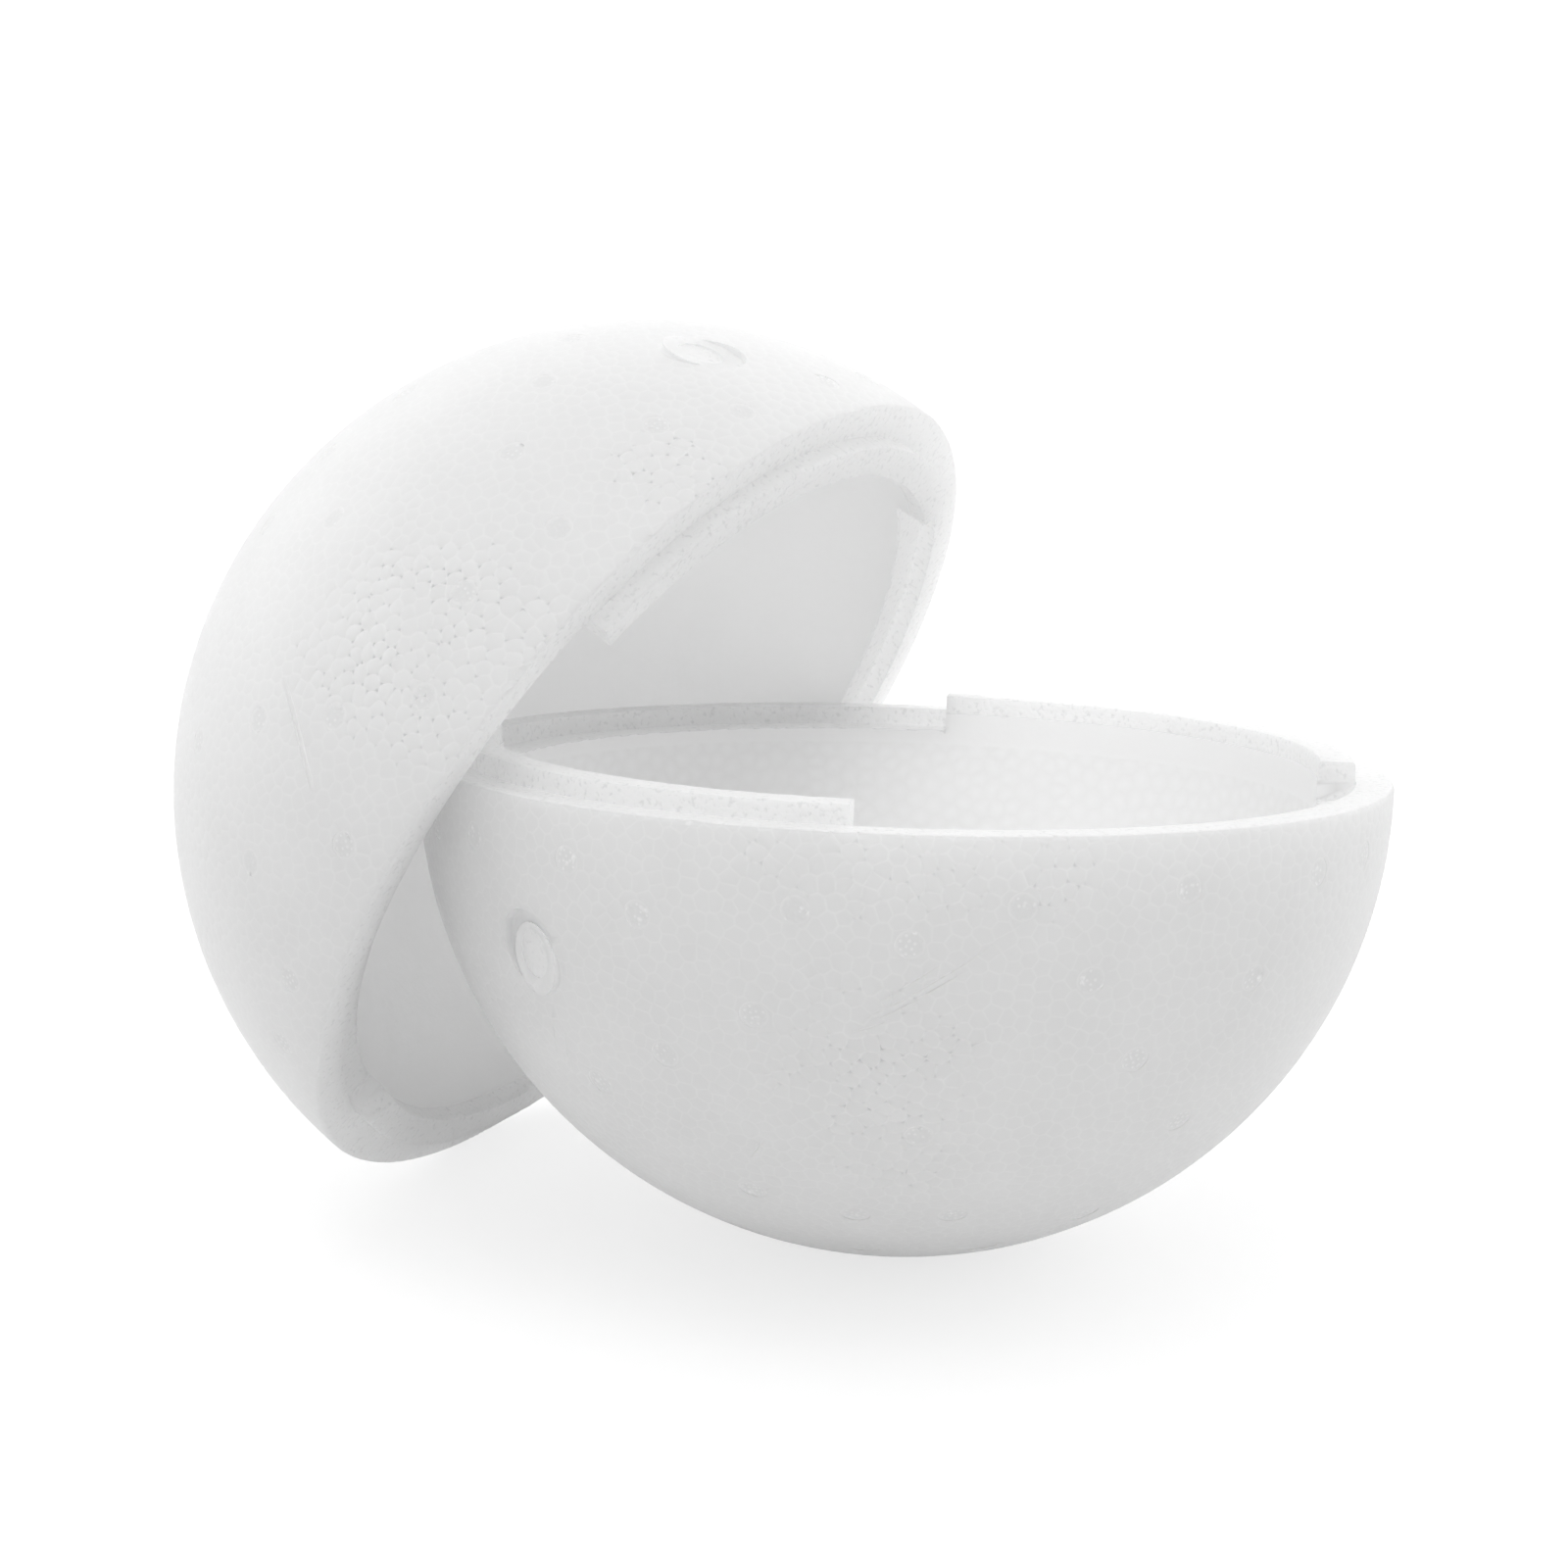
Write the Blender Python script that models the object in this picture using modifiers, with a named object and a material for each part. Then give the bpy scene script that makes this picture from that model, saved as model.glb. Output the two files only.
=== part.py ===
"""Two-part hollow ball in expanded polystyrene, lying open.

Both halves come from one mould. Each is a hemispherical shell whose rim is
stepped by quarters: two opposite quarters carry a raised inner tongue, the
two between them have an inner groove of the same depth. Turned a quarter
against each other, the halves lock face to face. Here one half stands on
its round side as a bowl and the other leans over its edge, mouth open.

Units are metres and +Z is up. A half is modelled about its sphere's centre,
with its mouth towards +Z and its first tongue from +X round to +Y.
"""
import math

import bmesh
import bpy
from mathutils import Matrix, Vector

# Ball
OUTER_R = 0.1000            # outer radius of the closed ball
WALL = 0.0157               # wall thickness
RIM_Z = 0.0017              # straight band between the sphere's equator and the rim plane
EDGE_SOFT = 0.0010          # rounding of the outer rim edge

# Stepped rim
STEP_H = 0.0040             # height of a tongue, and depth of a groove
LIP = 0.00785               # width of the outer lip, which is flat all the way round
FIT = 0.0003                # clearance between a tongue and the groove that it enters
TONGUE_SOFT = 0.0006        # bevel along a tongue's top edges
TONGUE_ROOT = 0.0030        # how far a tongue's root reaches down into the wall
STEP_PASS = 0.0040          # how far the groove's cutter passes the wall and the rim

# Mark left by the bead injector, on the outer side
MARK_AZIMUTH = 229.0        # degrees from +X
MARK_POLAR = 74.3           # degrees from the pole opposite the mouth
MARK_AXIS_AZIMUTH = 222.0   # the injector's own direction, which isn't square to the sphere
MARK_AXIS_POLAR = 81.0
MARK_R = 0.0090             # recess
MARK_SINK = 0.0005          # depth of the recess at its middle
PLUG_R = 0.0086             # flat face inside the recess
PLUG_LIFT = 0.0002
PISTON_R = 0.0052           # round dimple in the plug
PISTON_DEPTH = 0.0005
MARK_PASS = 0.0100          # how far the mark's cutters pass the outer side
PLUG_ROOT = 0.0050          # how far the plug's root reaches into the wall

# Turning and arcs
STEPS = 72                  # facets round the axis, a multiple of four
OUTER_ARC = 17              # facets from the equator to the pole, outer side
INNER_ARC = 15

# Places of the two halves, each a share of the ball's radius, and turns in degrees
FOOT = 0.0006               # depth of the flat where each half presses on the floor
BOWL_CENTRE = (0.2713 * OUTER_R, -0.1310 * OUTER_R, OUTER_R - FOOT)
BOWL_TURN = (-7.579, 0.604, -8.148)
LID_CENTRE = (-0.2707 * OUTER_R, 0.1305 * OUTER_R, 0.8820 * OUTER_R - FOOT)
LID_TURN = (-128.998, 39.511, -148.963)


def clear_scene():
    """Removes every object of the open file."""
    for obj in list(bpy.data.objects):
        bpy.data.objects.remove(obj, do_unlink=True)


def collection(name):
    group = bpy.data.collections.new(name)
    bpy.context.scene.collection.children.link(group)
    return group


def foam(name, colour):
    """White bead foam: a soft, rough, non-metallic surface."""
    mat = bpy.data.materials.new(name)
    mat.use_nodes = True
    shader = mat.node_tree.nodes["Principled BSDF"]
    shader.inputs["Base Color"].default_value = (*colour, 1.0)
    shader.inputs["Roughness"].default_value = 0.75
    shader.inputs["Metallic"].default_value = 0.0
    return mat


def mesh_object(name, verts, edges, faces, group, parent=None):
    mesh = bpy.data.meshes.new(name)
    mesh.from_pydata(verts, edges, faces)
    obj = bpy.data.objects.new(name, mesh)
    group.objects.link(obj)
    obj.parent = parent
    return obj


def turned(name, profile, closed, group, parent=None):
    """A profile in the XZ plane, turned a full circle about Z by a Screw modifier."""
    verts = [(x, 0.0, z) for x, z in profile]
    edges = [(i, i + 1) for i in range(len(verts) - 1)]
    if closed:
        edges.append((len(verts) - 1, 0))
    obj = mesh_object(name, verts, edges, [], group, parent)
    screw = obj.modifiers.new("turn", "SCREW")
    screw.axis = "Z"
    screw.angle = 2.0 * math.pi
    screw.steps = STEPS
    screw.render_steps = STEPS
    screw.use_merge_vertices = True
    screw.merge_threshold = 0.00001
    screw.use_smooth_shade = False
    return obj


def boolean(obj, tool, operation):
    mod = obj.modifiers.new(operation.lower() + "_" + tool.name, "BOOLEAN")
    mod.operation = operation
    mod.object = tool
    mod.solver = "EXACT"
    return mod


def weld(obj):
    """Closes the hairline edges that a cut along a facet's corner leaves."""
    mod = obj.modifiers.new("weld", "WELD")
    mod.merge_threshold = 0.00005


def hide_cutter(obj):
    obj.display_type = "WIRE"
    obj.hide_render = True


def shell_profile():
    """Inner side up from the pole, across the rim, and down the outer side to the pole."""
    inner_r = OUTER_R - WALL
    points = [(0.0, -inner_r)]
    for i in range(1, INNER_ARC + 1):
        a = math.radians(90.0 * (1.0 - i / INNER_ARC))
        points.append((inner_r * math.cos(a), -inner_r * math.sin(a)))
    points.append((inner_r, RIM_Z))
    for i in range(4):
        a = math.radians(90.0 - 30.0 * i)
        x = OUTER_R - EDGE_SOFT + EDGE_SOFT * math.cos(a)
        z = RIM_Z - EDGE_SOFT + EDGE_SOFT * math.sin(a)
        points.append((x, z))
    for i in range(OUTER_ARC):
        a = math.radians(90.0 * i / OUTER_ARC)
        points.append((OUTER_R * math.cos(a), -OUTER_R * math.sin(a)))
    points.append((0.0, -OUTER_R))
    return points


def ring_profile(r0, r1, z0, z1, soft):
    """A rectangle that runs down its outer side, with both top edges bevelled."""
    if soft == 0.0:
        return [(r0, z1), (r1, z1), (r1, z0), (r0, z0)]
    top = [(r0, z1 - soft), (r0 + soft, z1), (r1 - soft, z1), (r1, z1 - soft)]
    return top + [(r1, z0), (r0, z0)]


def quarters(name, first, inset, group, parent):
    """Two opposite quarter prisms that pick out the quarters of a turned ring."""
    near, far = 0.5 * OUTER_R, 1.3 * OUTER_R
    low, high = -0.3 * OUTER_R, 0.3 * OUTER_R
    outline = [(inset, near), (near, inset), (far, inset), (far, far), (inset, far)]
    bm = bmesh.new()
    for turn in (first, first + 180.0):
        spin = Matrix.Rotation(math.radians(turn), 4, "Z")
        face = bm.faces.new([bm.verts.new(spin @ Vector((x, y, low))) for x, y in outline])
        solid = bmesh.ops.extrude_face_region(bm, geom=[face])
        top = [g for g in solid["geom"] if isinstance(g, bmesh.types.BMVert)]
        bmesh.ops.translate(bm, verts=top, vec=(0.0, 0.0, high - low))
    bmesh.ops.recalc_face_normals(bm, faces=bm.faces)
    mesh = bpy.data.meshes.new(name)
    bm.to_mesh(mesh)
    bm.free()
    obj = bpy.data.objects.new(name, mesh)
    group.objects.link(obj)
    obj.parent = parent
    hide_cutter(obj)
    return obj


def direction(azimuth, polar):
    """Unit vector at an azimuth, and at an angle from the pole opposite the mouth."""
    a, p = math.radians(azimuth), math.radians(polar)
    return Vector((math.sin(p) * math.cos(a), math.sin(p) * math.sin(a), -math.cos(p)))


def post(name, radius, low, high, group, parent, sides=32):
    """A round post along the injector's axis, between two heights over the mark's plane."""
    bm = bmesh.new()
    bmesh.ops.create_cone(bm, cap_ends=True, segments=sides, radius1=radius, radius2=radius,
                          depth=high - low)
    bmesh.ops.translate(bm, verts=bm.verts, vec=(0.0, 0.0, 0.5 * (high + low)))
    mesh = bpy.data.meshes.new(name)
    bm.to_mesh(mesh)
    bm.free()
    obj = bpy.data.objects.new(name, mesh)
    group.objects.link(obj)
    obj.parent = parent
    obj.location = direction(MARK_AZIMUTH, MARK_POLAR) * (OUTER_R - MARK_SINK)
    obj.rotation_mode = "QUATERNION"
    obj.rotation_quaternion = direction(MARK_AXIS_AZIMUTH, MARK_AXIS_POLAR).to_track_quat("Z", "Y")
    hide_cutter(obj)
    return obj


def half(name, centre, turn, mat, parts, cutters, floor, root):
    """One moulded half: shell, stepped rim, injector mark and the flat that it stands on."""
    shell = turned(name, shell_profile(), False, parts, root)
    shell.location = centre
    shell.rotation_euler = [math.radians(a) for a in turn]
    shell.data.materials.append(mat)

    inner_r = OUTER_R - WALL
    lip_r = OUTER_R - LIP
    profile = ring_profile(inner_r - STEP_PASS, lip_r, RIM_Z - STEP_H, RIM_Z + STEP_PASS, 0.0)
    groove = turned(name + "_groove", profile, True, cutters, shell)
    hide_cutter(groove)
    sectors = quarters(name + "_groove_quarters", 90.0, 0.0, cutters, shell)
    boolean(groove, sectors, "INTERSECT")
    boolean(shell, groove, "DIFFERENCE")
    weld(shell)

    profile = ring_profile(inner_r + FIT, lip_r - FIT, RIM_Z - TONGUE_ROOT, RIM_Z + STEP_H, TONGUE_SOFT)
    tongue = turned(name + "_tongue", profile, True, cutters, shell)
    hide_cutter(tongue)
    sectors = quarters(name + "_tongue_quarters", 0.0, FIT, cutters, shell)
    boolean(tongue, sectors, "INTERSECT")
    boolean(shell, tongue, "UNION")
    weld(shell)

    recess = post(name + "_mark_recess", MARK_R, 0.0, MARK_PASS, cutters, shell)
    boolean(shell, recess, "DIFFERENCE")
    plug = post(name + "_mark_plug", PLUG_R, -PLUG_ROOT, PLUG_LIFT, cutters, shell)
    boolean(shell, plug, "UNION")
    piston = post(name + "_mark_piston", PISTON_R, PLUG_LIFT - PISTON_DEPTH, MARK_PASS, cutters, shell)
    boolean(shell, piston, "DIFFERENCE")
    boolean(shell, floor, "DIFFERENCE")
    weld(shell)
    return shell


def main():
    clear_scene()
    parts = collection("polystyrene_ball")
    cutters = collection("cutters")
    cutters.hide_render = True

    root = bpy.data.objects.new("ball", None)
    parts.objects.link(root)

    # The floor presses the foam flat where a half stands on it.
    side = 4.0 * OUTER_R
    square = ((-side, -side), (side, -side), (side, side), (-side, side))
    corners = [(x, y, z) for z in (-OUTER_R, 0.0) for x, y in square]
    sides = [(3, 2, 1, 0), (4, 5, 6, 7), (0, 1, 5, 4), (1, 2, 6, 5), (2, 3, 7, 6), (3, 0, 4, 7)]
    floor = mesh_object("floor_press", corners, [], sides, cutters)
    hide_cutter(floor)

    bowl_foam = foam("foam_bowl", (0.90, 0.90, 0.90))
    half("bowl_half", BOWL_CENTRE, BOWL_TURN, bowl_foam, parts, cutters, floor, root)
    lid_foam = foam("foam_leaning", (0.91, 0.91, 0.91))
    half("leaning_half", LID_CENTRE, LID_TURN, lid_foam, parts, cutters, floor, root)


main()
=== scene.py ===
"""Two-part hollow ball in expanded polystyrene, lying open on a white table.

Each half is a moulded skin of fused beads with a stepped rim, core vents, an
injector mark and the small damage that light foam collects. A half is made
about its sphere's centre, with its mouth towards +Z and its first tongue from
+X round to +Y, and is then laid where its solid lies.
"""
import math

import bpy
import numpy as np
from mathutils import Euler, Matrix, Vector, noise
from mathutils.geometry import delaunay_2d_cdt
from mathutils.kdtree import KDTree


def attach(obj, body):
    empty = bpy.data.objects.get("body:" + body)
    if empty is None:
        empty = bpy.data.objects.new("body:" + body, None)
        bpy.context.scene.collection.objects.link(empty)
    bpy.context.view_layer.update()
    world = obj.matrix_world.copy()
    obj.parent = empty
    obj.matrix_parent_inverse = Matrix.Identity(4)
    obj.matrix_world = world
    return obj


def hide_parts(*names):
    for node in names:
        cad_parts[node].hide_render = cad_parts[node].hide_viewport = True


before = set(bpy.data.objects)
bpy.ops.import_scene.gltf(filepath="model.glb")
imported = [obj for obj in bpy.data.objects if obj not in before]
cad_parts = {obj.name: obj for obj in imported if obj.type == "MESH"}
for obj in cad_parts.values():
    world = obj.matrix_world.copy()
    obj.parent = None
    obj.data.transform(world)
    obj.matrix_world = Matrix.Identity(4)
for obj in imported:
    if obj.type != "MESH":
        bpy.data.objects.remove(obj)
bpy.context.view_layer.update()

MM = 0.001

# Moulding, in millimetres
OUTER_R = 99.87
INNER_R = 84.3
RIM_Z = 1.7
EDGE_SOFT = 0.9
LIP_R = 92.15
TONGUE_OUT = 91.85
TONGUE_IN = 84.6
TONGUE_Z = 5.7
GROOVE_Z = -2.3
FIT = 0.3                   # clearance at each end of a tongue
BAND_STEPS = 104            # facets along each quarter of the rim
INNER_CUT = -5.6            # where the inner skin hands over to the rim band
BAND_ROWS = (-2.85, -3.4, -3.95, -4.5, -5.0)

# Where each half lies: centre in metres, turn in degrees
BOWL_PLACE = ((0.02713, -0.01310, 0.0994), (-7.579, 0.604, -8.148))
LID_PLACE = ((-0.02707, 0.01305, 0.0876), (-128.998, 39.511, -148.963))

# Beads
OUTER_BEAD = 3.5
INNER_BEAD = 4.2
GROOVE = 0.40               # width of a bead's sloping edge
OUTER_REACH = 104.0         # degrees from the pole that each skin is made over, before it is trimmed
INNER_REACH = 98.0
OUTER_BASE = 0.30           # how far beads stand out away from the strong places
INNER_BASE = 0.25
STAND_OUT = 0.45            # strength from which a seam gets a point half way along
DEEP_PITS = 0.5             # strength from which the pits between beads are deep

# Injector mark: azimuth and angle from the pole of its recess, plug and dimple, and its direction
MARK_RECESS = (228.8, 73.4)
MARK_PLUG = (229.1, 72.4)
MARK_PISTON = (229.1, 73.0)
MARK_AXIS = (222.0, 81.0)
MARK_SINK = -0.5            # height of the mark's own level over the outer side
RECESS_R = 8.4
PLUG_R = 7.25
PLUG_TOP = 0.3
PLUG_ROOT = -5.0
PISTON_R = 4.8
PISTON_FLOOR = -0.15
TOOL_TOP = 10.0             # how far the mark's tools pass the outer side

# Core vents that show on the outer side: azimuth, angle from the pole
VENTS = [
    (236.9, 84.9), (246.4, 80.1), (264.9, 82.3), (277.2, 79.1), (289.0, 83.4), (308.3, 84.8),
    (297.6, 75.0), (247.0, 63.2), (305.8, 64.7), (279.5, 54.3), (269.7, 37.8), (287.3, 38.3),
    (252.2, 41.5), (318.4, 34.9), (269.3, 24.3), (301.8, 25.3), (220.0, 85.3), (259.7, 69.8),
    (235.3, 26.0), (329.0, 84.8), (318.8, 54.3), (233.5, 57.0), (320.5, 73.5),
]

VENT_TURNS = (120.7, 239.5)  # the same pattern on the two thirds behind
VENT_APART = 6.0            # least angle between two vents
VENT_FROM_MARK = 9.0
VENT_RIM_R = 2.95
VENT_FLOOR_R = 2.65
VENT_SIDES = 24
DOT_RINGS = ((4, 0.84, 45.0), (8, 1.98, 8.0))    # dots, radius of their ring, first dot's turn

# Places where the beads stand out: azimuth, angle from the pole, reach in degrees, strength
BOWL_STRONG = [
    (273.3, 63.0, 13.0, 1.0), (276.0, 50.0, 10.0, 0.7), (270.0, 86.5, 7.0, 0.8), (281.0, 87.5, 8.0, 0.8),
    (293.0, 86.5, 7.0, 0.7), (303.0, 84.0, 7.0, 0.5), (262.0, 87.0, 6.0, 0.6), (236.0, 58.0, 9.0, 0.5),
]
LID_STRONG = [
    (284.0, 79.0, 16.0, 1.0), (289.0, 70.0, 12.0, 0.7), (250.0, 85.2, 8.0, 0.9), (300.0, 60.0, 12.0, 0.4),
    (276.0, 86.0, 8.0, 0.7),
]

# Torn places on the rim: azimuth, radius, height, size
BOWL_CHIPS = [
    (248.9, 101.5, 3.0, 2.5), (250.9, 101.4, 3.3, 2.9), (252.7, 101.6, 2.9, 3.0), (254.4, 101.3, 3.3, 2.4),
    (241.6, 101.5, 2.4, 2.2), (231.0, 101.4, 3.0, 2.3), (312.0, 101.6, 2.9, 2.4), (18.0, 101.5, 3.1, 2.6),
    (96.0, 101.6, 3.0, 2.7), (158.0, 101.5, 2.9, 2.4),
]
LID_CHIPS = [
    (259.6, 101.4, 2.8, 2.6), (261.6, 101.2, 3.0, 2.9), (263.4, 101.5, 2.9, 2.5), (278.2, 101.5, 2.8, 2.5),
    (280.1, 101.3, 3.0, 2.8), (282.0, 101.4, 2.8, 2.6), (284.2, 101.5, 3.0, 2.4), (24.0, 101.5, 3.1, 2.6),
    (140.0, 101.5, 3.0, 2.5), (200.0, 101.5, 2.9, 2.6),
]

# Cuts and dents in the skin: points of azimuth and angle from the pole, width, depth, tone (a painted
# highlight above 0, painted shade below 0)
BOWL_CUTS = [
    ([(272.6, 70.5), (276.4, 72.6), (279.6, 74.7), (283.0, 77.0), (286.4, 79.8)], 1.5, 0.24, 1.0),
    ([(273.0, 69.9), (276.8, 72.0), (280.0, 74.1), (283.4, 76.4)], 0.9, 0.30, -0.3),
    ([(274.0, 72.5), (277.8, 75.0), (280.5, 77.0)], 1.3, 0.20, 1.0),
    ([(270.6, 68.4), (273.2, 69.3), (275.6, 70.4)], 1.3, 0.18, 1.0),
    ([(254.6, 48.0), (256.4, 50.1), (258.1, 52.1)], 0.8, 0.22, 1.0),
    ([(228.0, 57.5), (229.4, 60.6), (230.8, 63.9)], 1.0, 0.20, 1.0),
    ([(226.6, 59.8), (228.0, 62.6), (229.2, 65.2)], 1.0, 0.18, -0.4),
]
LID_CUTS = [
    ([(299.0, 65.2), (300.7, 69.0), (302.6, 72.5), (304.7, 75.9), (305.8, 77.7)], 1.7, 0.30, 1.6),
    ([(299.5, 64.9), (301.2, 68.7), (303.1, 72.2), (305.2, 75.6), (306.3, 77.4)], 0.9, 0.60, 0.9),
]


def direction(azimuth, polar):
    """Unit vector at an azimuth, and at an angle from the pole opposite the mouth."""
    a, p = math.radians(azimuth), math.radians(polar)
    return Vector((math.sin(p) * math.cos(a), math.sin(p) * math.sin(a), -math.cos(p)))


def laid(place):
    """Matrix from the moulding's own millimetres to where the half lies, in metres."""
    centre, turn = place
    spin = Euler([math.radians(a) for a in turn]).to_matrix().to_4x4()
    return Matrix.Translation(centre) @ spin @ Matrix.Scale(MM, 4)


# Fused beads

def corners_of(centres):
    """Meeting points of neighbouring beads, and for each bead its corners in order."""
    flat = centres[:, :2] / (1.0 - centres[:, 2:])
    _, _, tris, origin, _, _ = delaunay_2d_cdt([Vector(p) for p in flat], [], [], 0, 1e-9)
    source = np.array([o[0] for o in origin])
    tris = source[np.array(tris)]
    a, b, c = (centres[tris[:, i]] for i in range(3))
    corner = np.cross(b - a, c - a)
    corner /= np.linalg.norm(corner, axis=1)[:, None]
    corner *= np.sign(np.sum(corner * a, axis=1))[:, None]
    owner = tris.ravel()
    index = np.repeat(np.arange(len(tris)), 3)
    hub = centres[owner]
    side = np.cross(hub, np.array([0.31, 0.17, 0.94]))
    side /= np.linalg.norm(side, axis=1)[:, None]
    up = np.cross(hub, side)
    arm = corner[index] - hub
    angle = np.arctan2(np.sum(arm * up, axis=1), np.sum(arm * side, axis=1))
    order = np.lexsort((angle, owner))
    owner, index = owner[order], index[order]
    starts = np.searchsorted(owner, np.arange(len(centres) + 1))
    return corner, [index[starts[i]:starts[i + 1]] for i in range(len(centres))]


def spread_beads(spacing, reach, seed):
    """Bead centres over a cap, shaken and then eased apart, with their corners."""
    rng = np.random.default_rng(seed)
    count = int(2.0 * math.pi * (1.0 - math.cos(reach)) / (0.866 * spacing ** 2))
    k = np.arange(count) + 0.5
    drop = 1.0 - k / count * (1.0 - math.cos(reach))
    turn = k * math.pi * (3.0 - math.sqrt(5.0))
    wide = np.sqrt(1.0 - drop ** 2)
    centres = np.stack([wide * np.cos(turn), wide * np.sin(turn), -drop], axis=1)
    centres += rng.normal(0.0, 0.30 * spacing, centres.shape)
    centres /= np.linalg.norm(centres, axis=1)[:, None]
    inner = -centres[:, 2] > math.cos(reach - 1.5 * spacing)
    for _ in range(3):
        corner, cells = corners_of(centres)
        for i in np.nonzero(inner)[0]:
            centres[i] = corner[cells[i]].mean(axis=0)
        centres /= np.linalg.norm(centres, axis=1)[:, None]
    corner, cells = corners_of(centres)
    return corner, [cells[i] for i in np.nonzero(inner)[0]], rng


def merged(corner, cells, close):
    """Corners that nearly meet become one, so that no bead has a hair-short side."""
    parent = np.arange(len(corner))

    def root(i):
        while parent[i] != i:
            i = parent[i]
        return i

    for cell in cells:
        step = np.linalg.norm(corner[cell] - corner[np.roll(cell, -1)], axis=1)
        for j in np.nonzero(step < close)[0]:
            a, b = root(cell[j]), root(cell[(j + 1) % len(cell)])
            if a != b:
                parent[max(a, b)] = min(a, b)
    result = []
    for cell in cells:
        ids = [root(i) for i in cell]
        ids = [v for j, v in enumerate(ids) if v != ids[j - 1]]
        if len(ids) > 2:
            result.append(ids)
    return result


def strength_at(d, spots, base):
    """How far the beads stand out at a direction."""
    total = base
    for azimuth, polar, reach, strength in spots:
        gap = math.degrees(math.acos(max(-1.0, min(1.0, d.dot(direction(azimuth, polar))))))
        total = max(total, strength * math.exp(-(gap / reach) ** 3))
    return total


def bead_skin(spacing, radius, reach, seed, spots, base, detail):
    """Beads as plates with sloping edges over a unit sphere. Height is the distance from it.

    The seam value is painted light and shade for the colour: it runs from 0 on a bead to 1, a painted
    highlight in a shallow seam, and to -1, painted shade in a deep pit.
    """
    corner, cells, rng = spread_beads(spacing / radius, reach, seed)
    cells = merged(corner, cells, 0.09 * spacing / radius)
    used = sorted({i for cell in cells for i in cell})
    number = {v: k for k, v in enumerate(used)}
    verts, painted_shading = [], []

    def power_at(d):
        return max(0.0, strength_at(d, spots, base) * (0.75 + 0.7 * noise.noise(d * 9.0)))

    for i in used:
        d = Vector(corner[i])
        power = power_at(d)
        pit = 0.42 * power * rng.random() ** 1.7
        if strength_at(d, spots, base) < DEEP_PITS:
            pit *= 0.2
        verts.append(d * (1.0 - (0.03 + 0.08 * power + pit) / radius))
        # Painted shade at deep pits, a painted highlight elsewhere along the seams
        painted_shading.append((0.25 + 0.75 * min(1.0, power)) * (1.0 - 2.0 * min(1.0, pit / 0.16)))
    faces, between = [], {}

    def middle(a, b):
        """Point half way along a seam that stands out, shallower than the pits at its ends."""
        key = (min(a, b), max(a, b))
        if key not in between:
            d = (Vector(corner[key[0]]) + Vector(corner[key[1]])).normalized()
            between[key] = None
            if strength_at(d, spots, base) > STAND_OUT:
                power = power_at(d)
                between[key] = len(verts)
                verts.append(d * (1.0 - (0.03 + 0.08 * power) / radius))
                painted_shading.append(0.2 + 0.6 * min(1.0, power))
        return between[key]

    for cell in cells:
        points = [Vector(corner[i]) for i in cell]
        hub = sum(points, Vector()).normalized()
        power = power_at(hub)
        border = [number[i] for i in cell]
        if not detail:
            verts.append(hub)
            painted_shading.append(0.0)
            for j in range(len(cell)):
                faces.append((border[j], border[(j + 1) % len(cell)], len(verts) - 1))
            continue
        mids = [middle(cell[j], cell[(j + 1) % len(cell)]) for j in range(len(cell))]
        lift = rng.normal(0.0, 0.014) * power
        tip = Vector(rng.normal(0.0, 0.006, 3)) * power
        ring = []
        for p in points:
            share = min(0.42, GROOVE / radius / max((hub - p).length, 1e-6))
            q = p.lerp(hub, share).normalized()
            ring.append(len(verts))
            verts.append(q * (1.0 + lift / radius + tip.dot(q - hub)))
            painted_shading.append(0.0)
        for j, mid in enumerate(mids):
            k = (j + 1) % len(cell)
            if mid is None:
                faces.append((border[j], border[k], ring[k], ring[j]))
            else:
                faces += [(border[j], mid, ring[j]), (mid, ring[k], ring[j]), (mid, border[k], ring[k])]
        faces.append(tuple(ring))
    return verts, faces, painted_shading


def outer_place(p):
    """From the unit sphere to the outer side, over the rounded edge and onto the flat lip."""
    length = p.length
    high = (length - 1.0) * OUTER_R
    d = p / length
    flat = math.hypot(d.x, d.y)
    along = OUTER_R * math.acos(max(-1.0, min(1.0, -d.z)))
    if along <= S_EQUATOR:
        return d * (OUTER_R + high)
    c, s = d.x / flat, d.y / flat
    if along <= S_BAND:
        r, z, nr, nz = OUTER_R, along - S_EQUATOR, 1.0, 0.0
    elif along <= S_EDGE:
        a = (along - S_BAND) / EDGE_SOFT
        nr, nz = math.cos(a), math.sin(a)
        r = OUTER_R - EDGE_SOFT + EDGE_SOFT * nr
        z = RIM_Z - EDGE_SOFT + EDGE_SOFT * nz
    else:
        r, z, nr, nz = OUTER_R - EDGE_SOFT - (along - S_EDGE), RIM_Z, 0.0, 1.0
    r += high * nr
    return Vector((r * c, r * s, z + high * nz))


def inner_place(p):
    length = p.length
    return p / length * (INNER_R - (length - 1.0) * INNER_R)


S_EQUATOR = OUTER_R * math.pi / 2.0
S_BAND = S_EQUATOR + RIM_Z - EDGE_SOFT
S_EDGE = S_BAND + EDGE_SOFT * math.pi / 2.0
S_LIP = S_EDGE + OUTER_R - EDGE_SOFT - LIP_R - 0.45


def mesh_piece(name, verts, faces, painted_shading):
    mesh = bpy.data.meshes.new(name)
    mesh.from_pydata(verts, [], faces)
    mesh.attributes.new("painted_shading", "FLOAT", "POINT").data.foreach_set("value", painted_shading)
    obj = bpy.data.objects.new(name, mesh)
    bpy.context.scene.collection.objects.link(obj)
    return obj


def pick(*objects):
    """These objects alone are selected, the last one active."""
    bpy.ops.object.select_all(action="DESELECT")
    for obj in objects:
        obj.select_set(True)
    bpy.context.view_layer.objects.active = objects[-1]


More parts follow.
